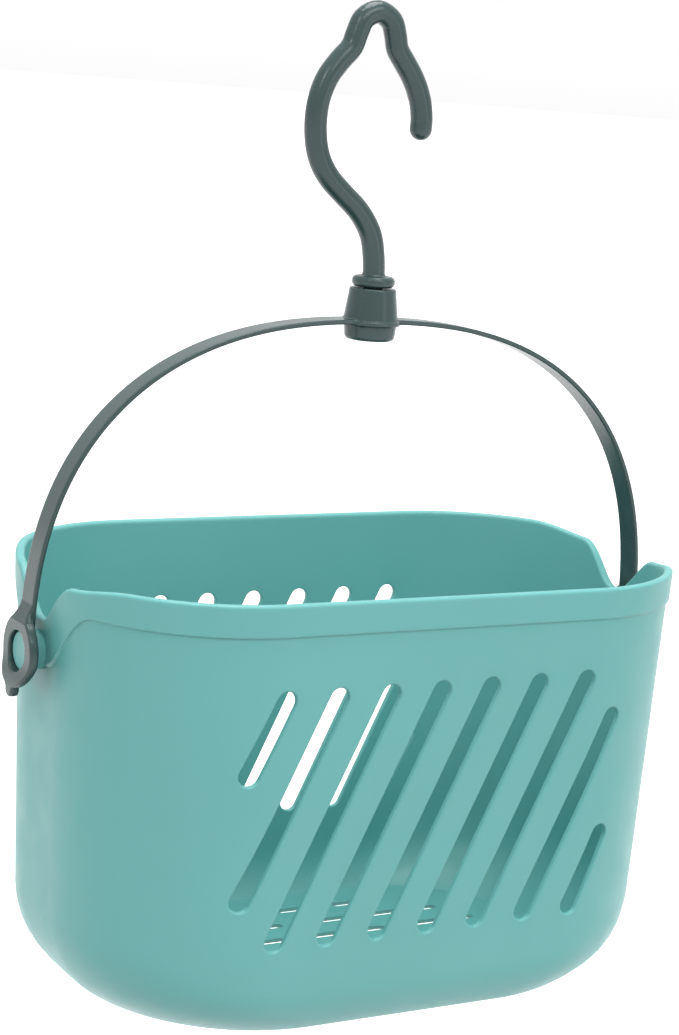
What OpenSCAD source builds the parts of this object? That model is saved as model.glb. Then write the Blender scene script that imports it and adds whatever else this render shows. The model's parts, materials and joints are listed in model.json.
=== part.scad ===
// Hanging shower caddy: a moulded basket, a swinging strap handle and a swivel hook.
// Millimetres. X runs along the length, Y front to back, Z up.
// The origin is at the middle of the basket's base.

/* [Basket] */
// Outside length of the wall at rim height
basket_length = 248; // [230:1:249]
// Outside depth of the wall at rim height
basket_depth = 143; // [130:1:170]
// Height of the rim above the base
basket_height = 158; // [140:1:180]
// Plan radius of the corners at the rim
corner_r = 60; // [50:1:66]
// Plan radius of the corners at the base
base_corner_r = 59; // [45:1:60]
// Wall thickness
wall = 2.4; // [1.6:0.1:3]
// Thickness of the floor
floor_t = 1.8; // [1.4:0.1:3]
// Draft of the two end walls in degrees
end_draft = 2.3; // [0:0.1:4]
// Draft of the front and back walls in degrees
side_draft = 0.3; // [0:0.1:3]
// Sweep radius between end wall and base
end_sweep_r = 39; // [30:1:50]
// Angle at which the end sweep meets the base
end_sweep_angle = 27.5; // [10:0.5:35]
// Sweep radius between front wall and base
side_sweep_r = 26; // [18:0.5:30]
// Angle at which the front sweep meets the base
side_sweep_angle = 39.5; // [20:0.5:42]
// Outward bow of the walls at their middles
wall_bow = 0.3; // [0:0.1:2]

/* [Rim] */
// Height of the proud band under the rim
band_h = 11; // [6:0.5:16]
// How far the band stands out from the wall
band_proud = 1; // [0.5:0.1:1.6]
// How far the rim falls towards the shoulders beside the end notches
shoulder_drop = 3; // [0:0.5:5]
// Height of the rim at the bottom of the end notches
notch_z = 139.6; // [138:0.1:145]
// Height of the band's lower edge under a boss
band_low_z = 124; // [118:0.1:130]

/* [Wall slots] */
// Number of slanted slots in the front and the back wall
slot_count = 9; // [5:1:11]
// Spacing of the slots along the wall
slot_pitch = 20.5; // [16:0.1:26]
// Width of a slot
slot_w = 7.3; // [4:0.1:9]
// Lean of the slots in degrees
slot_lean = 24.5; // [0:1:30]
// Lowest point of the slots
slot_low = 34.4; // [30:0.5:60]
// Highest point of the slots
slot_high = 127.6; // [100:0.1:132]
// Half length of the slotted field
field_half = 77.8; // [50:0.1:82]
// How far the back wall's slots sit to the left of the front wall's
back_shift = 2.6; // [0:0.1:3]

/* [Floor slots] */
// Width of a drain slot
drain_w = 4; // [3:0.5:8]
// Spacing of the drain rows
drain_pitch = 14.3; // [10:0.1:15]
// Number of drain rows on each side of the middle row
drain_rows = 3; // [1:1:3]
// Width of the webs between the slots of a row
drain_web = 5; // [3:0.5:8]

/* [Pivots] */
// Height of the handle pivots above the base
pivot_z = 128; // [124:0.1:130]
// Radius of the round bosses the handle turns on
boss_r = 6.9; // [5:0.1:7.5]
// Radial clearance between boss and handle ring
boss_gap = 0.35; // [0.2:0.05:0.6]
// Distance from the middle to a boss's outer face
boss_reach = 130.9; // [129:0.1:134]

/* [Handle] */
// Half width of the strap arch at the pivots, on its centreline
arch_half = 128.6; // [127.8:0.1:130]
// Height of the strap's centreline at the hub
arch_top = 245; // [238:0.1:260]
// Squareness of the arch, 2 is an ellipse
arch_power = 2.46; // [2.3:0.01:3]
// Width of the strap
strap_w = 10.5; // [8:0.5:14]
// Thickness of the strap
strap_t = 1.8; // [1.4:0.1:3]
// Outside radius of the handle rings
ring_r = 13; // [12:0.1:14]
// Thickness of the handle rings
ring_t = 3.4; // [2.6:0.1:3.8]
// Distance from the ring's centre to the end of the pull tab
tab_reach = 16.4; // [16:0.1:19]
// How far the pull tab bends away from the basket
tab_bend = 2.5; // [0.5:0.1:3]

/* [Hub] */
// Radius at the top of the hub's cone
hub_top_r = 8.5; // [7:0.1:10]
// Radius at the foot of the hub's cone
hub_foot_r = 10.1; // [9:0.1:12]
// Radius of the washer-like widening of the strap
flange_r = 11; // [10.2:0.1:13]
// Height of the cone above the strap
cone_h = 12.5; // [8:0.5:16]
// Radius of the cup under the strap
cup_r = 9; // [7:0.1:10]
// Depth of the cup under the strap
cup_h = 6.5; // [5:0.5:9]
// Radius of the hole for the hook's stem
stem_hole_r = 3.5; // [2.5:0.1:4]

/* [Hook] */
// Radius of the hook's rod
rod_r = 4.1; // [3:0.1:5]
// Radius of the stem in the hub
stem_r = 3.2; // [2:0.1:3.4]
// Radius of the collar over the hub
collar_r = 8; // [6:0.1:9]
// Height of the collar
collar_h = 4; // [3:0.1:6]
// Radius of the split head that holds the stem
head_r = 4.6; // [4:0.1:5.5]

/* [Hidden] */

half_l = basket_length / 2;
half_d = basket_depth / 2;
band_z = basket_height - band_h;
hub_z = arch_top - 0.5;
cone_z = hub_z + cone_h;
collar_z = cone_z + 0.4;
bore_r = boss_r + boss_gap;
ring_x = boss_reach + 1.3 - ring_t;

function ease(t) = let (c = min(1, max(0, t))) c * c * (3 - 2 * c);

// Plan of the basket: stations of one quarter, from the middle of a side to the middle of an end.
stations = concat(
  [for (i = [0:3]) [0, i / 4]],
  [for (t = [0:7.5:60]) [1, t]],
  [for (t = [65:4:85]) [1, t]],
  [[1, 90], [2, 1]]
);
last = len(stations) - 1;
loop = concat(
  [for (i = [last:-1:1]) [stations[i], 1, 1]],
  [for (i = [0:last - 1]) [stations[i], -1, 1]],
  [for (i = [last:-1:1]) [stations[i], -1, -1]],
  [for (i = [0:last - 1]) [stations[i], 1, -1]]
);
around = len(loop);

function quarter(s, a, b, r) =
  s[0] == 0 ? [s[1] * (a - r), b]
  : s[0] == 1 ? [a - r + r * sin(s[1]), b - r + r * cos(s[1])]
  : [a, (b - r) * (1 - s[1])];

function bowed(p, a, b) = [
  p[0] * (1 - wall_bow / a * pow(p[1] / b, 2)),
  p[1] * (1 - wall_bow / b * pow(p[0] / a, 2))
];

// Half size of the wall at height z: a drafted wall that runs into a sweep at the base.
function swept(z, half, draft, r, angle, off) =
  let (zc = r * cos(angle), top = half - (basket_height - max(z, zc)) * tan(draft))
  z >= zc ? top + off
  : top - r + sqrt(max(0, pow(r + off, 2) - pow(zc - z, 2)));

function plan_point(u, z, off) =
  let (
    a = swept(z, half_l, end_draft, end_sweep_r, end_sweep_angle, off),
    b = swept(z, half_d, side_draft, side_sweep_r, side_sweep_angle, off),
    k = min(1, z / (end_sweep_r * cos(end_sweep_angle))),
    r = min(base_corner_r + (corner_r - base_corner_r) * k + off, b - 3),
    p = bowed(quarter(loop[u][0], a, b, r), a, b)
  )
  [loop[u][1] * p[0], loop[u][2] * p[1]];

// Rim height and lower edge of the band, which both drop to a saddle at each boss.
function rim_z(y) =
  basket_height - shoulder_drop * (1 - ease((abs(y) - 22) / 26))
  - (basket_height - shoulder_drop - notch_z) * (1 - ease((abs(y) - 1.5) / 22));
function band_low(y) =
  band_low_z + (band_z - band_low_z) * ease((abs(y) - 5.5) / 29);

// One level of the shell: a fixed height, or a height that follows the rim or the band.
function level_z(u, lv) =
  let (y = plan_point(u, band_z, 0)[1])
  lv[0] == "z" ? lv[1] : lv[0] == "rim" ? rim_z(y) + lv[1] : band_low(y) + lv[1];

levels = concat(
  [for (z = [0, 2, 4.5, 8, 12, 16, 20, 24, 28.5, 33, 75, 105]) ["z", z, 0]],
  [["band", -0.8, 0], ["band", 0.2, band_proud]],
  [["rim", -1.1, band_proud], ["rim", 0, band_proud - 1]],
  [["rim", 0, 0.8 - wall], ["rim", -0.9, -wall]],
  [["band", 0, -wall]],
  [for (z = [105, 33, 28.5, 24, 20, 16, 12, 8, 4.5, floor_t]) ["z", z, -wall]]
);

shell_rings = [
  for (lv = levels) for (u = [0:around - 1])
    let (z = level_z(u, lv), p = plan_point(u, z, lv[2])) [p[0], p[1], z]
];
under = len(shell_rings);
shell_points = concat(shell_rings, [[0, 0, 0], [0, 0, floor_t]]);
shell_faces = concat(
  [for (u = [0:around - 1]) [under, u, (u + 1) % around]],
  [for (j = [0:len(levels) - 2]) for (u = [0:around - 1])
    [j * around + u, (j + 1) * around + u, (j + 1) * around + (u + 1) % around]],
  [for (j = [0:len(levels) - 2]) for (u = [0:around - 1])
    [j * around + u, (j + 1) * around + (u + 1) % around, j * around + (u + 1) % around]],
  [for (u = [0:around - 1]) let (e = (len(levels) - 1) * around)
    [under + 1, e + (u + 1) % around, e + u]]
);

// A straight slot with round ends between two points, in the plane of the drawing.
module slot_shape(p, q, r) {
  d = q - p;
  translate(p) circle(r = r, $fn = 48);
  translate(q) circle(r = r, $fn = 48);
  translate(p) rotate(atan2(d[1], d[0])) translate([0, -r]) square([norm(d), 2 * r]);
}

// The slanted slots of the front and the back wall; the back ones sit a little to the left.
mid_z = (slot_low + slot_high) / 2;
module wall_slots() {
  r = slot_w / 2;
  m = tan(slot_lean);
  for (i = [0:slot_count - 1]) {
    x = (i - (slot_count - 1) / 2) * slot_pitch;
    lo = max(slot_low + r, mid_z + (-field_half + r - x) / m);
    hi = min(slot_high - r, mid_z + (field_half - r - x) / m);
    for (side = [-1, 1])
      translate([side > 0 ? -back_shift : 0, side * (half_d / 2 + 10), 0]) rotate([90, 0, 0])
        linear_extrude(height = half_d + 18, center = true)
          slot_shape([x + (lo - mid_z) * m, lo], [x + (hi - mid_z) * m, hi], r);
  }
}

// Rows of drain slots in the floor, shorter towards the front and the back.
module drain_slots() {
  r = drain_w / 2;
  for (j = [-drain_rows:drain_rows], side = [-1, 1]) {
    y = j * drain_pitch;
    reach = 80 * sqrt(1 - pow(y / 55, 2));
    inner = drain_web / 2 + r;
    split = reach / 2;
    translate([0, 0, -1])
      linear_extrude(height = floor_t + 2) {
        slot_shape([side * inner, y], [side * (split - inner), y], r);
        slot_shape([side * (split + inner), y], [side * (reach - r), y], r);
      }
  }
}

module boss(side) {
  reach = boss_reach - (half_l - 2.6);
  translate([side * (half_l - 2.6), 0, pivot_z])
    rotate([0, side * 90, 0])
      rotate_extrude($fn = 96)
        polygon([[0, 0], [boss_r, 0], [boss_r, reach - 0.6], [boss_r - 0.6, reach], [0, reach]]);
}

module basket() {
  color([0.49, 0.74, 0.72]) {
    difference() {
      polyhedron(points = shell_points, faces = shell_faces, convexity = 8);
      wall_slots();
      drain_slots();
    }
    boss(1);
    boss(-1);
  }
}

// Centreline of the strap, from the left pivot over the top to the right pivot.
arch_steps = 80;
function arch(t) =
  let (e = 2 / arch_power, c = cos(t), s = sin(t))
  [-arch_half * sign(c) * pow(abs(c), e), pivot_z + (arch_top - pivot_z) * pow(s, e)];
arch_line = [for (i = [0:arch_steps])
  let (t = 90 - 90 * cos(180 * i / arch_steps)) arch(t)];
function arch_side(k) = [for (i = [0:arch_steps])
  let (
    a = arch_line[max(0, i - 1)],
    b = arch_line[min(arch_steps, i + 1)],
    d = i == 0 ? [0, 1] : i == arch_steps ? [0, -1] : (b - a) / norm(b - a)
  )
  arch_line[i] + k * [-d[1], d[0]]];

module strap() {
  inner = arch_side(-strap_t / 2);
  outer = arch_side(strap_t / 2);
  rotate([90, 0, 0])
    linear_extrude(height = strap_w, center = true)
      polygon(concat(outer, [for (i = [arch_steps:-1:0]) inner[i]]));
}

// Outline of an eye seen along the pivots: a ring, its fillets into the strap and the pull tab.
tab_r = 2.9;
tab_tip = tab_reach - tab_r;
function neck_w(d) = strap_w / 2 + 1.65 * pow((ring_r + 2.4 - d) / 4.4, 2);
function tab_w(d) = tab_r + 3.2 * pow((tab_tip - d) / 2.5, 2);
module eye_outline() {
  up = [for (d = [ring_r - 2:0.8:ring_r + 2]) [neck_w(d), d]];
  down = [for (d = [tab_tip - 2.5:0.5:tab_tip]) [tab_w(d), -d]];
  circle(r = ring_r, $fn = 96);
  polygon(concat(up, [[strap_w / 2, ring_r + 4]], [[-strap_w / 2, ring_r + 4]],
    [for (i = [len(up) - 1:-1:0]) [-up[i][0], up[i][1]]]));
  polygon(concat(down, [for (i = [len(down) - 1:-1:0]) [-down[i][0], down[i][1]]]));
  translate([0, -tab_tip]) circle(r = tab_r, $fn = 48);
}

// Edge-on shape of an eye: flat at the top, bent away from the basket towards the tab.
function bend(d) = tab_bend * ease((d - 2) / 11.5);
module eye_side() {
  low = [for (d = [2:1.25:13.25]) d];
  end = tab_reach + 1;
  polygon(concat(
    [[0, ring_r + 3.5]],
    [for (d = low) [bend(d), -d]],
    [[tab_bend, -end], [tab_bend + ring_t, -end]],
    [for (i = [len(low) - 1:-1:0]) [bend(low[i]) + ring_t, -low[i]]],
    [[ring_t, ring_r - 2.5], [0.4, ring_r + 3.5]]
  ));
}

// One eye of the handle, drawn for the right end and mirrored for the left.
module eye() {
  translate([0, 0, pivot_z]) intersection() {
    translate([ring_x - 1, 0, 0]) rotate([90, 0, 90])
      linear_extrude(height = ring_t + tab_bend + 2) eye_outline();
    translate([ring_x, 0, 0]) rotate([90, 0, 0])
      linear_extrude(height = 2 * ring_r + 4, center = true) eye_side();
  }
}

module hub() {
  rotate_extrude($fn = 96) polygon([
    [0, hub_z - 2], [cup_r - 1, hub_z - cup_h + 1], [cup_r - 2, hub_z - cup_h],
    [cup_r - 0.8, hub_z - cup_h], [cup_r, hub_z - cup_h + 0.8], [cup_r + 0.3, hub_z - 1],
    [flange_r - 0.3, hub_z - 1], [flange_r, hub_z - 0.7], [flange_r, hub_z + 0.5],
    [flange_r - 0.4, hub_z + 0.9], [hub_foot_r, hub_z + 0.9], [hub_top_r, cone_z - 0.4],
    [hub_top_r - 0.4, cone_z], [0, cone_z]
  ]);
}

module handle() {
  color([0.29, 0.38, 0.37]) difference() {
    union() {
      strap();
      hub();
      eye();
      mirror([1, 0, 0]) eye();
    }
    translate([0, 0, pivot_z]) rotate([0, 90, 0])
      cylinder(h = 4 * half_l, r = bore_r, center = true, $fn = 96);
    translate([0, 0, hub_z - 20]) cylinder(h = 60, r = stem_hole_r, $fn = 96);
    translate([0, 0, hub_z - cup_h - 1]) cylinder(h = cup_h - 1, r = cup_r - 2.4, $fn = 96);
  }
}

// Centreline of the hook's rod from the collar to the tip, as [x, z].
hook_knots = [
  [0, 258], [-0.4, 266], [-2, 274.4], [-4.8, 280], [-9.2, 285.3], [-15.2, 290.3],
  [-21, 295.4], [-24.9, 300.5], [-27.2, 305.8], [-28.3, 311.2], [-28.6, 316.3],
  [-28.2, 321.6], [-26.9, 326.9], [-24.5, 332.2], [-20.3, 337.7], [-16.2, 342.3],
  [-14.4, 347.4], [-12, 352.6], [-6.4, 355.3], [-0.8, 352.6], [1.4, 347.4],
  [2.6, 342.8], [5.8, 338.5], [9.4, 333.8], [12.2, 328.9], [14.1, 323.8],
  [15, 318.6], [15, 315]
];
knots = len(hook_knots) - 1;
function spline(i, t) =
  let (
    p0 = hook_knots[max(0, i - 1)], p1 = hook_knots[i],
    p2 = hook_knots[i + 1], p3 = hook_knots[min(knots, i + 2)]
  )
  0.5 * (2 * p1 + (p2 - p0) * t + (2 * p0 - 5 * p1 + 4 * p2 - p3) * t * t
    + (3 * p1 - p0 - 3 * p2 + p3) * t * t * t);
hook_line = concat(
  [for (i = [0:knots - 1]) for (t = [0, 1 / 3, 2 / 3]) spline(i, t)],
  [hook_knots[knots]]
);
hook_end = len(hook_line) - 1;
function hook_dir(i) =
  let (d = hook_line[min(hook_end, i + 1)] - hook_line[max(0, i - 1)]) d / norm(d);
tip_dir = hook_dir(hook_end);
// Each ring of the rod is [centre, direction, radius]; the last ones round off the tip.
rod_rings = concat(
  [for (i = [0:hook_end]) [hook_line[i], hook_dir(i), rod_r]],
  [for (t = [22:22:66]) [hook_line[hook_end] + rod_r * sin(t) * tip_dir, tip_dir, rod_r * cos(t)]],
  [[hook_line[hook_end] + rod_r * 0.985 * tip_dir, tip_dir, rod_r * 0.14]]
);
rod_around = 24;
rod_points = [
  for (g = rod_rings) for (k = [0:rod_around - 1])
    let (a = 360 * k / rod_around, n = [-g[1][1], g[1][0]])
    [g[0][0] + g[2] * cos(a) * n[0], -g[2] * sin(a), g[0][1] + g[2] * cos(a) * n[1]]
];
rod_faces = concat(
  [[for (k = [0:rod_around - 1]) k]],
  [for (j = [0:len(rod_rings) - 2]) for (k = [0:rod_around - 1])
    [j * rod_around + k, (j + 1) * rod_around + k, (j + 1) * rod_around + (k + 1) % rod_around]],
  [for (j = [0:len(rod_rings) - 2]) for (k = [0:rod_around - 1])
    [j * rod_around + k, (j + 1) * rod_around + (k + 1) % rod_around,
     j * rod_around + (k + 1) % rod_around]],
  [[for (k = [rod_around - 1:-1:0]) (len(rod_rings) - 1) * rod_around + k]]
);

module hook() {
  head_z = hub_z - cup_h + 0.6;
  web_z = hub_z - 2.4;
  color([0.27, 0.36, 0.35]) {
    polyhedron(points = rod_points, faces = rod_faces, convexity = 6);
    rotate_extrude($fn = 96) polygon([
      [0, collar_z], [collar_r - 0.9, collar_z], [collar_r, collar_z + 1],
      [collar_r, collar_z + collar_h - 1.4], [collar_r - 1.3, collar_z + collar_h - 0.2],
      [rod_r + 0.8, collar_z + collar_h], [0, collar_z + collar_h]
    ]);
    difference() {
      rotate_extrude($fn = 96) polygon([
        [0, head_z], [stem_r - 0.2, head_z], [head_r, web_z - 1.2], [head_r, web_z],
        [stem_r, web_z], [stem_r, collar_z + 1], [0, collar_z + 1]
      ]);
      translate([-head_r - 1, -0.5, head_z - 1]) cube([2 * head_r + 2, 1, 5]);
    }
  }
}

basket();
handle();
hook();
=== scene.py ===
import json
import math

import bpy
import numpy as np
from mathutils import Matrix, Vector
from mathutils.geometry import delaunay_2d_cdt


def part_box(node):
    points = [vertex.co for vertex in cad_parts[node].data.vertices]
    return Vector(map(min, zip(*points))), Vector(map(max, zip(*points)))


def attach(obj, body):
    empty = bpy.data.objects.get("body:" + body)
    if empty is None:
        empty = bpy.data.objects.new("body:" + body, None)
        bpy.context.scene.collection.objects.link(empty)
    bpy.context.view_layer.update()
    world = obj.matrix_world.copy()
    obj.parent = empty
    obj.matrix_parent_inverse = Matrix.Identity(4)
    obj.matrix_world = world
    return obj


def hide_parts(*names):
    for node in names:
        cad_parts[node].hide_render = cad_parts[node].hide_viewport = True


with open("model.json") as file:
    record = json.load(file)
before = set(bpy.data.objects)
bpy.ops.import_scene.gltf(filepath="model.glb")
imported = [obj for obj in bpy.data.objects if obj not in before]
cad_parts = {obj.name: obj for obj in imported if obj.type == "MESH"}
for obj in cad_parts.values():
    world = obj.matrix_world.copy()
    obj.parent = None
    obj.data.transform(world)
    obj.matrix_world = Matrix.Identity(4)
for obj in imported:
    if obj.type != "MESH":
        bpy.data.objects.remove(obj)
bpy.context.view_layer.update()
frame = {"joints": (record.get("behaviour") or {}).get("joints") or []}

# Lengths are in millimetres until a mesh is made, and MM turns them into metres.
MM = 0.001
joints = {j["name"]: j for j in frame["joints"]}
basket_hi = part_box("basket")[1] / MM
handle_lo, handle_hi = (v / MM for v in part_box("handle"))
hook_lo, hook_hi = (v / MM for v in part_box("hook"))

# ---------------------------------------------------------------- camera

CAMERA_AZIMUTH = math.radians(-29.956)
CAMERA_HEIGHT = math.radians(10.805)
CAMERA_ROLL = math.radians(4.301)
CAMERA_DISTANCE = 890.5
CAMERA_TARGET = Vector((-6.77, 0, 171.64))
SENSOR = 36.0
CAMERA_LENS = 83.73


def make_camera():
    """A camera on a circle round the caddy, rolled slightly about its own axis."""
    back = Vector((
        math.sin(CAMERA_AZIMUTH) * math.cos(CAMERA_HEIGHT),
        -math.cos(CAMERA_AZIMUTH) * math.cos(CAMERA_HEIGHT),
        math.sin(CAMERA_HEIGHT),
    ))
    right = (-back).cross(Vector((0, 0, 1))).normalized()
    up = right.cross(-back)
    x = math.cos(CAMERA_ROLL) * right + math.sin(CAMERA_ROLL) * up
    y = -math.sin(CAMERA_ROLL) * right + math.cos(CAMERA_ROLL) * up
    data = bpy.data.cameras.new("camera")
    data.sensor_fit = "VERTICAL"
    data.sensor_height = SENSOR
    data.lens = CAMERA_LENS
    data.clip_end = 50
    camera = bpy.data.objects.new("camera", data)
    camera.matrix_world = Matrix.Translation((CAMERA_TARGET + CAMERA_DISTANCE * back) * MM) @ Matrix((
        (x.x, y.x, back.x, 0), (x.y, y.y, back.y, 0), (x.z, y.z, back.z, 0), (0, 0, 0, 1)))
    bpy.context.scene.collection.objects.link(camera)
    bpy.context.scene.camera = camera


make_camera()

# ---------------------------------------------------------------- materials

TEAL = (0.13, 0.42, 0.405)
GREY_GREEN = (0.036, 0.069, 0.067)


def plastic(name, colour, tint, roughness, rough_range, peel, specular):
    """Moulded plastic: a slow drift of colour, a gloss that varies, and a faint orange peel."""
    material = bpy.data.materials.new(name)
    material.use_nodes = True
    nodes, links = material.node_tree.nodes, material.node_tree.links
    shader = nodes["Principled BSDF"]
    place = nodes.new("ShaderNodeTexCoord")
    drift = nodes.new("ShaderNodeTexNoise")
    drift.inputs["Scale"].default_value = 14
    drift.inputs["Detail"].default_value = 3
    links.new(place.outputs["Object"], drift.inputs["Vector"])
    ramp = nodes.new("ShaderNodeValToRGB")
    ramp.color_ramp.elements[0].position = 0.3
    ramp.color_ramp.elements[1].position = 0.7
    ramp.color_ramp.elements[0].color = (*[c * (1 - tint) for c in colour], 1)
    ramp.color_ramp.elements[1].color = (*[min(1, c * (1 + tint)) for c in colour], 1)
    links.new(drift.outputs["Fac"], ramp.inputs["Fac"])
    links.new(ramp.outputs["Color"], shader.inputs["Base Color"])
    gloss = nodes.new("ShaderNodeTexNoise")
    gloss.inputs["Scale"].default_value = 90
    gloss.inputs["Detail"].default_value = 4
    links.new(place.outputs["Object"], gloss.inputs["Vector"])
    span = nodes.new("ShaderNodeMapRange")
    span.inputs["From Min"].default_value = 0.3
    span.inputs["From Max"].default_value = 0.7
    span.inputs["To Min"].default_value = roughness - rough_range
    span.inputs["To Max"].default_value = roughness + rough_range
    links.new(gloss.outputs["Fac"], span.inputs["Value"])
    links.new(span.outputs["Result"], shader.inputs["Roughness"])
    skin = nodes.new("ShaderNodeTexNoise")
    skin.inputs["Scale"].default_value = 900
    skin.inputs["Detail"].default_value = 2
    links.new(place.outputs["Object"], skin.inputs["Vector"])
    bump = nodes.new("ShaderNodeBump")
    bump.inputs["Strength"].default_value = peel
    bump.inputs["Distance"].default_value = 0.0001
    links.new(skin.outputs["Fac"], bump.inputs["Height"])
    links.new(bump.outputs["Normal"], shader.inputs["Normal"])
    shader.inputs["IOR"].default_value = 1.49
    shader.inputs["Specular IOR Level"].default_value = specular
    return material


teal_plastic = plastic("teal_plastic", TEAL, 0.02, 0.42, 0.05, 0.12, 0.5)
grey_plastic = plastic("grey_green_plastic", GREY_GREEN, 0.04, 0.24, 0.05, 0.12, 0.42)

# ---------------------------------------------------------------- mesh tools


def ease(t):
    c = np.clip(t, 0, 1)
    return c * c * (3 - 2 * c)


class Shape:
    """Points, their exact normals where they are known, and faces, which are welded into one mesh."""

    def __init__(self):
        self.points, self.normals, self.faces, self.count = [], [], [], 0

    def add(self, points, faces, normals=None, flip=False):
        points = np.asarray(points, float)
        normals = np.zeros_like(points) if normals is None else np.asarray(normals, float)
        self.points.append(points)
        self.normals.append(normals)
        for face in faces:
            face = [int(i) + self.count for i in face]
            self.faces.append(face[::-1] if flip else face)
        self.count += len(points)

    def make(self, name, material, weld=0.002):
        points, normals = np.vstack(self.points), np.vstack(self.normals)
        key = np.round(points / weld).astype(np.int64)
        _, first, back = np.unique(key, axis=0, return_index=True, return_inverse=True)
        back = back.reshape(-1)
        total = np.zeros((len(first), 3))
        known = np.linalg.norm(normals, axis=1) > 0.5
        np.add.at(total, back[known], normals[known])
        plain = np.zeros(len(first), bool)
        plain[back[~known]] = True
        total[plain] = 0
        length = np.linalg.norm(total, axis=1, keepdims=True)
        total = np.where(length > 1e-6, total / np.maximum(length, 1e-6), 0)
        faces = []
        for face in self.faces:
            ids = [int(back[i]) for i in face]
            ids = [v for n, v in enumerate(ids) if v != ids[n - 1]]
            if len(set(ids)) >= 3 and len(set(ids)) == len(ids):
                faces.append(ids)
        mesh = bpy.data.meshes.new(name)
        mesh.from_pydata((points[first] * MM).tolist(), [], faces)
        mesh.validate()
        mesh.update()
        mesh.shade_smooth()
        if known.any() and len(mesh.vertices) == len(total):
            mesh.normals_split_custom_set_from_vertices(total.tolist())
        mesh.materials.append(material)
        piece = bpy.data.objects.new(name, mesh)
        bpy.context.scene.collection.objects.link(piece)
        return piece


def strip(first, second, count, closed=True):
    """Quads between two loops of the same count, given where each starts."""
    last = count if closed else count - 1
    return [[first + i, first + (i + 1) % count, second + (i + 1) % count, second + i] for i in range(last)]


# ---------------------------------------------------------------- basket

HEIGHT = basket_hi.z
BAND_PROUD, WALL, FLOOR = 1.0, 2.4, 1.8
HALF_L, HALF_D = 124.0, basket_hi.y - BAND_PROUD
END_DRAFT, SIDE_DRAFT = math.radians(2.3), math.radians(0.3)
END_SWEEP, END_ANGLE = 39.0, math.radians(27.5)
SIDE_SWEEP, SIDE_ANGLE = 26.0, math.radians(39.5)
CORNER, BASE_CORNER, BOW = 60.0, 59.0, 0.3
SHOULDER_DROP, NOTCH_Z = 3.0, 139.6
BAND_LOW, BAND_Z = 124.0, HEIGHT - 11
PIVOT_Z = joints["handle_swing"]["pos_m"][2] / MM
WINDOW_X, WINDOW_LOW, WINDOW_HIGH = 85.0, 31.0, 131.0
SLOT_R, SLOT_PITCH, SLOT_COUNT = 3.65, 20.5, 9
SLOT_LEAN, SLOT_LOW, SLOT_HIGH, FIELD_HALF = math.tan(math.radians(24.5)), 34.4, 127.6, 77.8
BACK_SHIFT = 2.6
OUTER_EDGE, INNER_EDGE, DRAIN_EDGE = 0.9, 0.7, 0.45
DRAIN_R, DRAIN_PITCH, DRAIN_WEB = 2.0, 14.3, 5.0
BOSS_R, BOSS_REACH, BOSS_ROOT = 6.9, 130.9, 121.4


def swept(z, half, draft, radius, angle, off):
    zc = radius * math.cos(angle)
    top = half - (HEIGHT - np.maximum(z, zc)) * math.tan(draft)
    low = top - radius + np.sqrt(np.maximum(0, (radius + off) ** 2 - (zc - z) ** 2))
    return np.where(z >= zc, top + off, low)


def plan_size(z, off):
    """Half length, half depth and corner radius of the wall at a height."""
    a = swept(z, HALF_L, END_DRAFT, END_SWEEP, END_ANGLE, off)
    b = swept(z, HALF_D, SIDE_DRAFT, SIDE_SWEEP, SIDE_ANGLE, off)
    k = np.minimum(1, z / (END_SWEEP * math.cos(END_ANGLE)))
    return a, b, np.minimum(BASE_CORNER + (CORNER - BASE_CORNER) * k + off, b - 3)


def unbowed_x(x, a, b, r):
    wide = np.abs(x)
    for _ in range(4):
        y = b - r + np.sqrt(np.maximum(r * r - np.maximum(0, wide - (a - r)) ** 2, 0))
        wide = np.abs(x) / (1 - BOW / a * (y / b) ** 2)
    return wide, y


def side_y(x, z, off):
    """Distance of the front or back wall from the middle plane."""
    a, b, r = plan_size(z, off)
    wide, y = unbowed_x(x, a, b, r)
    return y * (1 - BOW / b * (wide / a) ** 2)


def rim_z(y):
    shoulder = HEIGHT - SHOULDER_DROP * (1 - ease((abs(y) - 22) / 26))
    return shoulder - (HEIGHT - SHOULDER_DROP - NOTCH_Z) * (1 - ease((abs(y) - 1.5) / 22))


def band_low(y):
    return BAND_LOW + (BAND_Z - BAND_LOW) * ease((abs(y) - 5.5) / 29)


FRONT_X = np.linspace(-WINDOW_X, WINDOW_X, 41)
ARC_STEPS, END_STEPS = 40, 12
END_T = [("arc", i / ARC_STEPS) for i in range(1, ARC_STEPS + 1)]
END_T += [("end", i / END_STEPS) for i in range(1, END_STEPS + 1)]


def end_column(kind, t, z, off):
    """A column of the right end, from the window's edge at the back to the middle of the end."""
    a, b, r = plan_size(z, off)
    wide, _ = unbowed_x(np.full_like(z, WINDOW_X), a, b, r)
    start = np.arcsin(np.clip((wide - (a - r)) / r, -1, 1))
    angle = start + (math.pi / 2 - start) * t
    x = a - r + r * np.sin(angle) if kind == "arc" else a
    y = b - r + r * np.cos(angle) if kind == "arc" else (b - r) * (1 - t)
    return x * (1 - BOW / a * (y / b) ** 2), y * (1 - BOW / b * (x / a) ** 2)


def columns():
    """All columns, counterclockwise from the front left, as (kind, place, sign of x, sign of y)."""
    found = [("front", x, 1, -1) for x in FRONT_X]
    found += [("end", c, 1, -1) for c in END_T]
    found += [("end", c, 1, 1) for c in END_T[-2::-1]]
    found += [("front", x, 1, 1) for x in FRONT_X[::-1]]
    found += [("end", c, -1, 1) for c in END_T]
    found += [("end", c, -1, -1) for c in END_T[-2::-1]]
    return found


COLUMNS = columns()
AROUND = len(COLUMNS)
BACK_START = len(FRONT_X) + 2 * len(END_T) - 1


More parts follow.
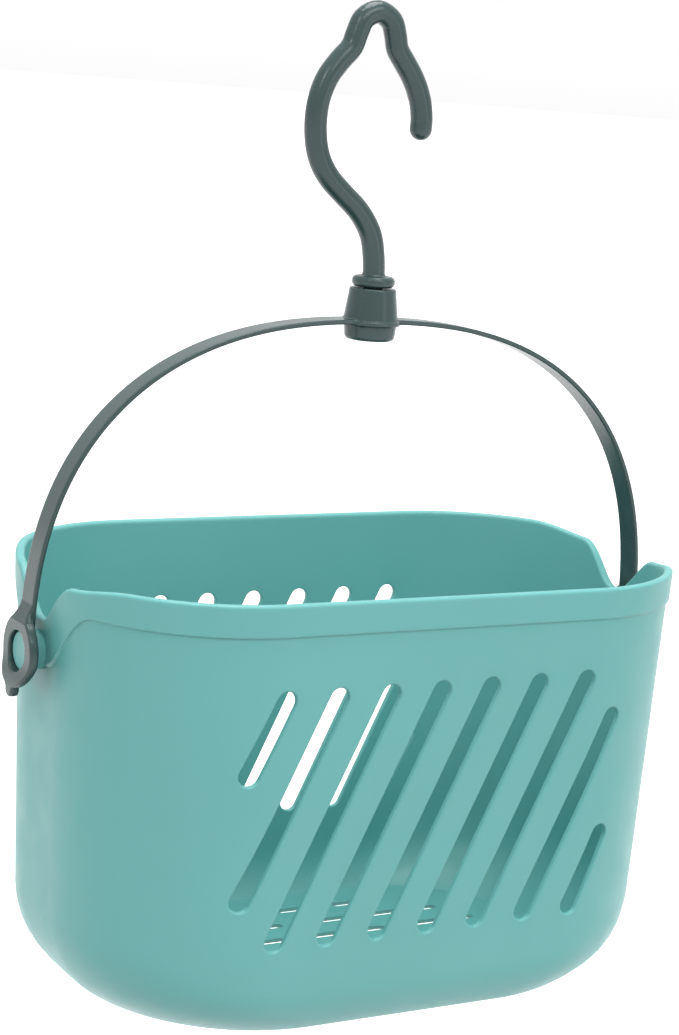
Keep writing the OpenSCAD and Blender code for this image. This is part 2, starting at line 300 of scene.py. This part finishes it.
def at_column(column, z, off):
    kind, value, sx, sy = column
    z = np.asarray(z, float)
    if kind == "front":
        return value, sy * float(side_y(value, z, off))
    x, y = end_column(value[0], value[1], z, off)
    return sx * float(x), sy * float(y)


COLUMN_Y = [at_column(c, BAND_Z, 0)[1] for c in COLUMNS]
BEND_Z, UNDER_BAND = 105.0, 1.6


def level_height(kind, value, y):
    """A level is a height, a height above the band's edge or the rim, or a share of the way between the two."""
    if kind == "z":
        if value <= BEND_Z:
            return value
        return BEND_Z + (value - BEND_Z) * (band_low(y) - UNDER_BAND - BEND_Z) / (BAND_Z - UNDER_BAND - BEND_Z)
    if kind == "band":
        return band_low(y) + value
    if kind == "rim":
        return rim_z(y) + value
    low = band_low(y) + (0.5 if kind == "face" else -UNDER_BAND)
    return low + (rim_z(y) - RIM_H - low) * value


RIM_H, RIM_IN, RIM_OUT, RIM_POWER = 1.5, -WALL, BAND_PROUD, 0.8
LOW_ROWS = [2.2, 4.5, 8, 12, 16, 20, 24, 27.5, WINDOW_LOW]
WINDOW_ROWS = list(np.linspace(WINDOW_LOW, WINDOW_HIGH, 21))
HIGH_ROWS = [136, 141, BAND_Z - UNDER_BAND]


def wall_levels():
    """The profile of the wall from its foot, up the outside, over the rim and down the inside."""
    foot = [("z", 0, -1.3), ("z", 0.12, -0.75), ("z", 0.42, -0.35), ("z", 0.9, -0.08), ("z", 1.4, 0)]
    outside = [("z", z, 0) for z in LOW_ROWS + WINDOW_ROWS[1:] + HIGH_ROWS]
    step = [(-1.0, 0), (-0.78, 0.03), (-0.6, 0.12), (-0.47, 0.32), (-0.36, 0.6), (-0.2, 0.84), (0.08, 0.97), (0.5, 1.0)]
    band = [("band", z, off) for z, off in step]
    face = [("face", t, BAND_PROUD) for t in (0.1, 0.4, 0.7, 0.92)]
    middle, half = (RIM_IN + RIM_OUT) / 2, (RIM_OUT - RIM_IN) / 2
    turn = [math.radians(180 * i / 12) for i in range(13)]
    rim = [("rim", RIM_H * (math.sin(t) ** RIM_POWER - 1),
            middle + half * math.copysign(abs(math.cos(t)) ** RIM_POWER, math.cos(t))) for t in turn]
    down = [("back", t, -WALL) for t in (0.92, 0.6, 0.3)]
    inside = [("z", z, -WALL) for z in (LOW_ROWS + WINDOW_ROWS[1:] + HIGH_ROWS)[::-1]] + [("z", FLOOR, -WALL)]
    return foot + outside + band + face + rim + down + inside


LEVELS = wall_levels()


def wall_slots(shift):
    """The slanted slots as (lower centre, upper centre) in x and z, moved along x by shift."""
    middle, found = (SLOT_LOW + SLOT_HIGH) / 2, []
    for i in range(SLOT_COUNT):
        x = (i - (SLOT_COUNT - 1) / 2) * SLOT_PITCH
        low = max(SLOT_LOW + SLOT_R, middle + (-FIELD_HALF + SLOT_R - x) / SLOT_LEAN)
        high = min(SLOT_HIGH - SLOT_R, middle + (FIELD_HALF - SLOT_R - x) / SLOT_LEAN)
        start = (x + (low - middle) * SLOT_LEAN + shift, low)
        end = (x + (high - middle) * SLOT_LEAN + shift, high)
        found.append((np.array(start), np.array(end)))
    return found


def drain_slots():
    """The floor's slots as pairs of centres in x and y."""
    found = []
    for row in range(-3, 4):
        y = row * DRAIN_PITCH
        reach = 80 * math.sqrt(1 - (y / 55) ** 2)
        inner, split = DRAIN_WEB / 2 + DRAIN_R, reach / 2
        for side in (-1, 1):
            found.append((np.array((side * inner, y)), np.array((side * (split - inner), y))))
            found.append((np.array((side * (split + inner), y)), np.array((side * (reach - DRAIN_R), y))))
    return found


def slot_ring(p, q, radius):
    """A closed counterclockwise loop round the slot, and the direction away from it at each point."""
    axis = (q - p) / np.linalg.norm(q - p)
    side = np.array((-axis[1], axis[0]))
    turns, along = 14, max(2, int(np.linalg.norm(q - p) / 5))
    points, away = [], []
    for centre, other, way in ((q, p, 1), (p, q, -1)):
        for i in range(turns + 1):
            a = math.pi * i / turns
            out = way * (-side * math.cos(a) + axis * math.sin(a))
            points.append(centre + radius * out)
            away.append(out)
        out = way * side
        for i in range(1, along):
            points.append(centre + (other - centre) * i / along + radius * out)
            away.append(out)
    return np.array(points), np.array(away)


def distance_to(points, p, q):
    axis = q - p
    t = np.clip((points - p) @ axis / (axis @ axis), 0, 1)
    return np.linalg.norm(points - p - t[:, None] * axis, axis=1)


def panel(shape, border, slots, radius, edge, place, normal, inward, extra, flip):
    """A wall or floor face with rounded slots: triangles between the slots, and rings down into each.
    Returns the 3-D loop at each slot's edge."""
    halo = edge + 1.1
    ring_far = [slot_ring(p, q, radius + halo)[0] for p, q in slots]
    points, limits = [tuple(p) for p in border], [(i, (i + 1) % len(border)) for i in range(len(border))]
    for ring in ring_far:
        start = len(points)
        points += [tuple(p) for p in ring]
        limits += [(start + i, start + (i + 1) % len(ring)) for i in range(len(ring))]
    far = [e for e in extra if all(distance_to(np.array([e]), p, q)[0] > radius + halo + 1.5 for p, q in slots)]
    points += [tuple(e) for e in far]
    flat, _, faces, *_ = delaunay_2d_cdt([Vector(p) for p in points], limits, [], 0, 1e-6)
    flat = np.array([tuple(v) for v in flat])
    middles = np.array([flat[list(f)].mean(0) for f in faces])
    keep = np.ones(len(faces), bool)
    for p, q in slots:
        keep &= distance_to(middles, p, q) > radius + halo - 0.12
    bounds = set(tuple(np.round(b, 4)) for b in border)
    known = np.array([tuple(np.round(f, 4)) not in bounds for f in flat])
    normals = normal(flat) * known[:, None]
    shape.add(place(flat, 0), [f for f, k in zip(faces, keep) if k], normals, flip)
    turns = [0, 0, 18, 36, 54, 72, 90]
    gaps = [halo, edge + 0.3] + [edge * (1 - math.sin(math.radians(t))) for t in turns[1:]]
    loops = []
    for p, q in slots:
        rings, ring_normals = [], []
        for gap, turn in zip(gaps, [0] + turns):
            t = math.radians(turn)
            ring, away = slot_ring(p, q, radius + gap)
            rings.append(place(ring, edge * (1 - math.cos(t))))
            face_normal = normal(ring)
            hole = np.zeros((len(ring), 3))
            hole[:, inward] = -away
            mix = math.cos(t) * face_normal + math.sin(t) * hole
            ring_normals.append(mix / np.linalg.norm(mix, axis=1, keepdims=True))
        n = len(rings[0])
        quads = [f for k in range(len(rings) - 1) for f in strip(k * n, (k + 1) * n, n)]
        shape.add(np.vstack(rings), quads, np.vstack(ring_normals), flip)
        loops.append((rings[-1], ring_normals[-1]))
    return loops


def join_loops(shape, one, two, flip):
    """The straight wall of each slot between its two edges."""
    for (a, na), (b, nb) in zip(one, two):
        shape.add(np.vstack((a, b)), strip(0, len(a), len(a)), np.vstack((na, nb)), flip)


def wall_panel(shape, side, off, slots):
    """The slotted window of the front (side -1) or back wall, outside (off 0) or inside."""
    outward = 1 if off == 0 else -1

    def place(points, depth):
        x, z = points[:, 0], points[:, 1]
        return np.column_stack((x, side * (side_y(x, z, off) - outward * depth), z))

    def normal(points):
        x, z = points[:, 0], points[:, 1]
        dx = (side_y(x + 0.05, z, off) - side_y(x - 0.05, z, off)) / 0.1
        dz = (side_y(x, z + 0.05, off) - side_y(x, z - 0.05, off)) / 0.1
        n = np.column_stack((-dx, np.full_like(x, side), -dz)) * outward
        return n / np.linalg.norm(n, axis=1, keepdims=True)

    xs, zs = list(FRONT_X), WINDOW_ROWS
    border = [(x, zs[0]) for x in xs] + [(xs[-1], z) for z in zs[1:]]
    border += [(x, zs[-1]) for x in xs[-2::-1]] + [(xs[0], z) for z in zs[-2:0:-1]]
    extra = [(x, z) for x in xs[1:-1] for z in zs[1:-1]]
    edge = OUTER_EDGE if off == 0 else INNER_EDGE
    return panel(shape, border, slots, SLOT_R, edge, place, normal, [0, 2], extra, (side > 0) == (off == 0))


def floor_panel(shape, ring, top, slots):
    height, way = (FLOOR, 1) if top else (0.0, -1)

    def place(points, depth):
        return np.column_stack((points, np.full(len(points), height - way * depth)))

    def normal(points):
        return np.tile((0.0, 0.0, float(way)), (len(points), 1))

    extra = [(x, y) for x in np.arange(-90, 91, 9.0) for y in np.arange(-54, 55, 6.0)
             if (x / (ring[:, 0].max() - 3)) ** 2 + (y / (ring[:, 1].max() - 3)) ** 2 < 1]
    return panel(shape, ring[:, :2].tolist(), slots, DRAIN_R, DRAIN_EDGE, place, normal, [0, 1], extra, not top)


def turned(profile, steps, place):
    """A profile of (radius, height) turned round an axis; place puts (x, y, height) in the frame."""
    points, faces = [], []
    for r, h in profile:
        a = np.linspace(0, 2 * math.pi, steps, endpoint=False)
        points.append(np.column_stack((r * np.cos(a), r * np.sin(a), np.full(steps, h))))
    for k in range(len(profile) - 1):
        faces += strip(k * steps, (k + 1) * steps, steps)
    return place(np.vstack(points)), faces


def boss(shape, side):
    """The round pivot boss: a rounded rim and a slightly dished face."""
    turn = [math.radians(t) for t in (0, 22, 45, 67, 90)]
    profile = [(0.01, BOSS_ROOT), (BOSS_R, BOSS_ROOT), (BOSS_R, BOSS_ROOT + 3)]
    round_r = 0.7
    profile += [(BOSS_R - round_r + round_r * math.cos(t), BOSS_REACH - round_r + round_r * math.sin(t)) for t in turn]
    profile += [(BOSS_R - 1.5, BOSS_REACH - 0.02), (BOSS_R - 1.9, BOSS_REACH - 0.12), (BOSS_R - 2.3, BOSS_REACH - 0.2),
                (2, BOSS_REACH - 0.2), (0.01, BOSS_REACH - 0.2)]

    def place(p):
        return np.column_stack((side * p[:, 2], p[:, 0], PIVOT_Z + side * p[:, 1]))

    points, faces = turned(profile, 72, place)
    shape.add(points, faces)


def make_basket():
    shape = Shape()
    rows = []
    for kind, value, off in LEVELS:
        row = []
        for column, y in zip(COLUMNS, COLUMN_Y):
            z = level_height(kind, value, y)
            row.append((*at_column(column, z, off), z))
        rows.append(np.array(row))
    faces, front = [], len(FRONT_X)
    in_window = [kind == "z" and WINDOW_LOW <= value <= WINDOW_HIGH for kind, value, _ in LEVELS]
    for j in range(len(rows) - 1):
        for i, face in enumerate(strip(j * AROUND, (j + 1) * AROUND, AROUND)):
            windowed = i < front - 1 or BACK_START <= i < BACK_START + front - 1
            if not (windowed and in_window[j] and in_window[j + 1]):
                faces.append(face)
    shape.add(np.vstack(rows), faces)
    for side in (-1, 1):
        slots = wall_slots(-BACK_SHIFT if side > 0 else 0)
        outer = wall_panel(shape, side, 0, slots)
        inner = wall_panel(shape, side, -WALL, slots)
        join_loops(shape, outer, inner, side > 0)
    drains = drain_slots()
    under = floor_panel(shape, rows[0], False, drains)
    over = floor_panel(shape, rows[-1], True, drains)
    join_loops(shape, under, over, True)
    boss(shape, 1)
    boss(shape, -1)
    return shape.make("basket_shell", teal_plastic)


# ---------------------------------------------------------------- shapes from distance fields

CORNERS = [(i, j, k) for i in (0, 1) for j in (0, 1) for k in (0, 1)]
EDGES = [(a, b) for a in CORNERS for b in CORNERS if sum(b) - sum(a) == 1 and all(y >= x for x, y in zip(a, b))]
# Grid steps of the two meshes.
HANDLE_CELL, HOOK_CELL = 0.6, 0.55


def smooth_min(a, b, k):
    h = np.clip(0.5 + 0.5 * (b - a) / k, 0, 1)
    return b * (1 - h) + a * h - k * h * (1 - h)


def smooth_max(a, b, k):
    return -smooth_min(-a, -b, k)


def rounded_box(u, v, half_u, half_v, radius):
    qu, qv = np.abs(u) - half_u + radius, np.abs(v) - half_v + radius
    return np.hypot(np.maximum(qu, 0), np.maximum(qv, 0)) + np.minimum(np.maximum(qu, qv), 0) - radius


def slope(field, p, h=0.01):
    g = np.empty_like(p)
    for axis in range(3):
        step = np.zeros(3)
        step[axis] = h
        g[:, axis] = (field(*(p + step).T) - field(*(p - step).T)) / (2 * h)
    return g


def surface_of(field, low, high, step):
    """Quads over the surface where field is 0, with points moved onto it exactly and the field's own normals."""
    axes = [np.arange(a, b + step, step) for a, b in zip(low, high)]
    values = np.empty([len(a) for a in axes])
    for i, x in enumerate(axes[0]):
        values[i] = field(np.full((len(axes[1]), len(axes[2])), x), axes[1][:, None], axes[2][None, :])
    inside = values < 0
    size = [n - 1 for n in values.shape]

    def corner(array, c):
        return array[c[0]:c[0] + size[0], c[1]:c[1] + size[1], c[2]:c[2] + size[2]]

    crowd = sum(corner(inside, c).astype(np.int8) for c in CORNERS)
    cells = np.argwhere((crowd > 0) & (crowd < 8))
    number = np.full(size, -1, np.int64)
    number[tuple(cells.T)] = np.arange(len(cells))
    total, share = np.zeros((len(cells), 3)), np.zeros(len(cells))
    for a, b in EDGES:
        va, vb = values[tuple((cells + a).T)], values[tuple((cells + b).T)]
        cross = (va < 0) != (vb < 0)
        t = np.where(cross, va / np.where(cross, va - vb, 1), 0)[:, None]
        total += np.where(cross[:, None], np.array(a) + t * (np.array(b) - np.array(a)), 0)
        share += cross
    points = np.array(low) + (cells + total / share[:, None]) * step
    for _ in range(4):
        g = slope(field, points)
        move = field(*points.T)[:, None] * g / np.maximum((g * g).sum(1, keepdims=True), 0.2)
        points -= np.clip(move, -0.4 * step, 0.4 * step)
    normals = slope(field, points)
    normals /= np.maximum(np.linalg.norm(normals, axis=1, keepdims=True), 1e-9)
    faces = []
    for axis in range(3):
        u, v = [(1, 2), (2, 0), (0, 1)][axis]
        head = [slice(None)] * 3
        tail = [slice(None)] * 3
        head[axis], tail[axis] = slice(1, None), slice(None, -1)
        a, b = inside[tuple(tail)], inside[tuple(head)]
        edge = np.argwhere(a != b)
        edge = edge[(edge[:, u] > 0) & (edge[:, v] > 0) & (edge[:, u] < size[u]) & (edge[:, v] < size[v])]
        du, dv = np.zeros(3, int), np.zeros(3, int)
        du[u], dv[v] = 1, 1
        quad = np.column_stack([number[tuple((edge - s).T)] for s in (du + dv, dv, 0 * du, du)])
        outward = a[tuple(edge.T)]
        faces.append(np.where(outward[:, None], quad, quad[:, ::-1]))
    return points, np.vstack(faces), normals


# ---------------------------------------------------------------- handle

ARCH_HALF, ARCH_TOP, ARCH_POWER = 128.6, 245.0, 2.46
STRAP_W, STRAP_T = 10.5, 1.8
BORE_R, RING_R, RING_T = 7.25, 13.0, 3.4
TAB_BEND, TAB_R, TAB_TIP = 2.5, 2.9, 13.5
RING_X = handle_hi.x - TAB_BEND - RING_T
HUB_Z = ARCH_TOP - 0.5
CONE_Z, CUP_H = HUB_Z + 12.5, 6.5
CONE_FOOT_R, CONE_TOP_R, FLANGE_R, STEM_HOLE_R = 10.2, 8.5, 11.0, 3.5


def arch_offset(x, z):
    """Signed distance from the strap's middle line in its own plane, positive outside."""
    u, v = np.abs(x) / ARCH_HALF, np.maximum(z - PIVOT_Z, 0) / (ARCH_TOP - PIVOT_Z)
    u, v = np.maximum(u, 1e-6), np.maximum(v, 1e-9)
    f = u ** ARCH_POWER + v ** ARCH_POWER
    g = f ** (1 / ARCH_POWER)
    scale = f ** (1 / ARCH_POWER - 1)
    gu = scale * u ** (ARCH_POWER - 1) / ARCH_HALF
    gv = scale * v ** (ARCH_POWER - 1) / (ARCH_TOP - PIVOT_Z)
    return (g - 1) / np.hypot(gu, gv)


def strap_field(x, y, z):
    body = rounded_box(arch_offset(x, z), y, STRAP_T / 2, STRAP_W / 2, 0.55)
    return smooth_max(body, PIVOT_Z - z, 0.5)


def eye_outline(y, up):
    """The ring with its fillets into the strap and its pull tab, seen along the pivots."""
    wide, down = np.abs(y), -up
    neck = wide - STRAP_W / 2 - 1.65 * ((RING_R + 2.4 - np.clip(up, 11, 15.4)) / 4.4) ** 2
    neck = np.maximum(neck, np.maximum(9 - up, up - 16.9))
    flank = wide - TAB_R - 3.2 * ((TAB_TIP - np.clip(down, 11, TAB_TIP)) / 2.5) ** 2
    tab = np.where(down > TAB_TIP, np.hypot(y, down - TAB_TIP) - TAB_R, flank)
    return np.minimum(np.minimum(np.hypot(y, up) - RING_R, neck), np.maximum(tab, 9 - down))


def eye_field(x, y, z):
    """The eye at both ends: flat at the ring, thinner into the strap, bent outwards towards the tab."""
    side, up = np.abs(x), z - PIVOT_Z
    thick = RING_T - (RING_T - 0.4) * np.clip((up - 10.5) / 6, 0, 1)
    face = np.abs(side - RING_X - TAB_BEND * ease((-up - 2) / 11.5) - thick / 2) - thick / 2
    qa, qb = eye_outline(y, up) + 0.9, 0.96 * face + 0.9
    return np.hypot(np.maximum(qa, 0), np.maximum(qb, 0)) + np.minimum(np.maximum(qa, qb), 0) - 0.9


def turned_slab(r, z, low, high, low_r, high_r, radius):
    """A round slab between two heights with a tapered side and rounded edges."""
    middle, half = (low + high) / 2, (high - low) / 2
    side = low_r + (high_r - low_r) * np.clip((z - low) / (high - low), 0, 1)
    lean = math.hypot(1, (high_r - low_r) / (high - low))
    qa, qb = (r - side) / lean + radius, np.abs(z - middle) - half + radius
    return np.hypot(np.maximum(qa, 0), np.maximum(qb, 0)) + np.minimum(np.maximum(qa, qb), 0) - radius


def hub_field(x, y, z):
    r = np.hypot(x, y)
    cone = turned_slab(r, z, HUB_Z, CONE_Z, CONE_FOOT_R, CONE_TOP_R, 0.55)
    flange = turned_slab(r, z, HUB_Z - 0.9, HUB_Z + 0.9, FLANGE_R, FLANGE_R, 0.6)
    cup = turned_slab(r, z, HUB_Z - CUP_H, HUB_Z, 9.1, 9.8, 1.4)
    body = smooth_min(smooth_min(cone, flange, 0.35), cup, 0.35)
    hollow = turned_slab(r, z, HUB_Z - CUP_H - 4, HUB_Z - 2, 6.8, 6.6, 0.8)
    bore = r - STEM_HOLE_R
    return smooth_max(smooth_max(body, -hollow, 0.5), -bore, 0.4)


def handle_field(x, y, z):
    x, y, z = np.broadcast_arrays(x, y, z)
    ends = smooth_min(strap_field(x, y, z), eye_field(x, y, z), 0.8)
    ends = smooth_max(ends, BORE_R - np.hypot(y, z - PIVOT_Z), 0.7)
    hub = hub_field(x, y, z)
    body = smooth_min(ends, hub, 0.6)
    return np.where(np.hypot(x, y) < STEM_HOLE_R - 0.1, np.maximum(body, 0.2), body)


def make_handle():
    shape = Shape()
    low = (handle_lo.x - 1.03, -14.07, PIVOT_Z - TAB_TIP - TAB_R - 1.1)
    high = (handle_hi.x + 1, 14, CONE_Z + 1)
    points, faces, normals = surface_of(handle_field, low, high, HANDLE_CELL)
    shape.add(points, faces, normals)
    return shape.make("strap_handle", grey_plastic, weld=1e-5)


# ---------------------------------------------------------------- hook

ROD_R, COLLAR_R, COLLAR_H, STEM_R, HEAD_R = 4.1, 8.0, 4.0, 3.2, 4.6
COLLAR_Z = CONE_Z + 0.4
HOOK_KNOTS = [
    (0, 258), (-0.4, 266), (-2, 274.4), (-4.8, 280), (-9.2, 285.3), (-15.2, 290.3),
    (-21, 295.4), (-24.9, 300.5), (-27.2, 305.8), (-28.3, 311.2), (-28.6, 316.3),
    (-28.2, 321.6), (-26.9, 326.9), (-24.5, 332.2), (-20.3, 337.7), (-16.2, 342.3),
    (-14.4, 347.4), (-12, 352.6), (-6.4, 355.3), (-0.8, 352.6), (1.4, 347.4),
    (2.6, 342.8), (5.8, 338.5), (9.4, 333.8), (12.2, 328.9), (14.1, 323.8),
    (15, 318.6), (15, 315)]


def curve_through(knots, steps):
    """Catmull-Rom points through the knots."""
    p = np.array(knots, float)
    p = np.vstack((p[0], p, p[-1]))
    found = []
    for i in range(1, len(p) - 2):
        for s in range(steps):
            t = s / steps
            found.append(0.5 * (
                2 * p[i] + (p[i + 1] - p[i - 1]) * t
                + (2 * p[i - 1] - 5 * p[i] + 4 * p[i + 1] - p[i + 2]) * t ** 2
                + (3 * p[i] - p[i - 1] - 3 * p[i + 1] + p[i + 2]) * t ** 3))
    return np.array(found + [p[-2]])


HOOK_LINE = curve_through(HOOK_KNOTS, 4)


def rod_field(x, y, z):
    best = np.full(np.broadcast(x, y, z).shape, 1e9)
    for a, b in zip(HOOK_LINE[:-1], HOOK_LINE[1:]):
        d = b - a
        t = np.clip(((x - a[0]) * d[0] + (z - a[1]) * d[1]) / (d @ d), 0, 1)
        best = np.minimum(best, (x - a[0] - t * d[0]) ** 2 + (z - a[1] - t * d[1]) ** 2)
    return np.sqrt(best + y ** 2) - ROD_R


def hook_field(x, y, z):
    x, y, z = np.broadcast_arrays(x, y, z)
    r = np.hypot(x, y)
    collar = turned_slab(r, z, COLLAR_Z, COLLAR_Z + COLLAR_H, COLLAR_R, COLLAR_R - 0.2, 1.7)
    rod = np.maximum(rod_field(x, y, z), COLLAR_Z + 1 - z)
    top = smooth_min(rod, collar, 1.3)
    foot = HUB_Z - CUP_H + 0.6
    stem = turned_slab(r, z, foot, COLLAR_Z + 2, STEM_R, STEM_R, 0.3)
    head = turned_slab(r, z, foot, HUB_Z - 2.4, 3.1, HEAD_R, 0.35)
    stem = smooth_min(stem, head, 0.3)
    split = np.maximum(np.abs(x) - 0.5, z - foot - 4)
    return smooth_min(top, np.maximum(stem, -split), 0.3)


def make_hook():
    shape = Shape()
    points, faces, normals = surface_of(
        hook_field, (hook_lo.x - 1.07, -9.05, hook_lo.z - 1.1), (hook_hi.x + 1, 9, hook_hi.z + 1), HOOK_CELL)
    shape.add(points, faces, normals)
    return shape.make("swivel_hook", grey_plastic, weld=1e-5)


# ---------------------------------------------------------------- pieces on the frame

for piece, body, slot in (
        (make_basket(), "basket", "basket_plastic"),
        (make_handle(), "handle", "handle_plastic"),
        (make_hook(), "hook", "hook_plastic")):
    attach(piece, body)
    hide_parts(body)

# ---------------------------------------------------------------- stage and light

FLOOR_DROP = 0.45


def make_stage():
    """A wide pale floor well below the hanging caddy."""
    points = [(x, y, -FLOOR_DROP) for x, y in ((-60, -60), (60, -60), (60, 60), (-60, 60))]
    mesh = bpy.data.meshes.new("floor")
    mesh.from_pydata(points, [], [(0, 1, 2, 3)])
    material = bpy.data.materials.new("floor_white")
    material.use_nodes = True
    shader = material.node_tree.nodes["Principled BSDF"]
    shader.inputs["Base Color"].default_value = (0.95, 0.95, 0.95, 1)
    shader.inputs["Roughness"].default_value = 0.9
    shader.inputs["Specular IOR Level"].default_value = 0.1
    shader.inputs["Emission Color"].default_value = (1, 1, 1, 1)
    shader.inputs["Emission Strength"].default_value = 0.7
    mesh.materials.append(material)
    floor = bpy.data.objects.new("floor", mesh)
    floor.visible_diffuse = False
    bpy.context.scene.collection.objects.link(floor)


def area_light(name, place, aim, size, power, colour=(1, 1, 1)):
    data = bpy.data.lights.new(name, "AREA")
    data.shape = "RECTANGLE"
    data.size, data.size_y = size
    data.energy = power
    data.color = colour
    light = bpy.data.objects.new(name, data)
    light.location = place
    light.rotation_euler = (Vector(aim) - Vector(place)).to_track_quat("-Z", "Y").to_euler()
    bpy.context.scene.collection.objects.link(light)


def make_world():
    """A white studio behind the caddy, dimmer below the horizon and behind the camera."""
    world = bpy.data.worlds.new("studio")
    world.use_nodes = True
    nodes, links = world.node_tree.nodes, world.node_tree.links
    place = nodes.new("ShaderNodeTexCoord")
    parts = nodes.new("ShaderNodeSeparateXYZ")
    links.new(place.outputs["Generated"], parts.inputs["Vector"])
    least = nodes.new("ShaderNodeMath")
    least.operation = "MINIMUM"
    for slot, (axis, start, end, dim) in enumerate((("Z", -0.3, 0.0, 0.45), ("Y", -0.3, 0.2, 0.85))):
        span = nodes.new("ShaderNodeMapRange")
        span.inputs["From Min"].default_value = start
        span.inputs["From Max"].default_value = end
        span.inputs["To Min"].default_value = dim
        span.inputs["To Max"].default_value = 1.0
        links.new(parts.outputs[axis], span.inputs["Value"])
        links.new(span.outputs["Result"], least.inputs[slot])
    links.new(least.outputs["Value"], nodes["Background"].inputs["Strength"])
    nodes["Background"].inputs["Color"].default_value = (1, 1, 1, 1)
    bpy.context.scene.world = world


def make_light():
    middle = (0, 0, 0.15)
    area_light("key_light", (-1.26, -0.95, 1.4), middle, (0.45, 0.45), 4)
    area_light("left_strip", (-1.8, -0.3, 0.6), middle, (0.4, 1.4), 0.4)
    area_light("right_strip", (1.0, -1.6, 0.6), middle, (0.45, 1.4), 2.2)
    area_light("top_softbox", (0.1, 0.1, 1.6), middle, (0.9, 0.9), 15)
    area_light("front_softbox", (0.2, -1.3, 1.35), middle, (1.2, 0.6), 9)


make_stage()
make_world()
make_light()
bpy.context.scene.view_settings.view_transform = "Standard"

bpy.context.view_layer.update()
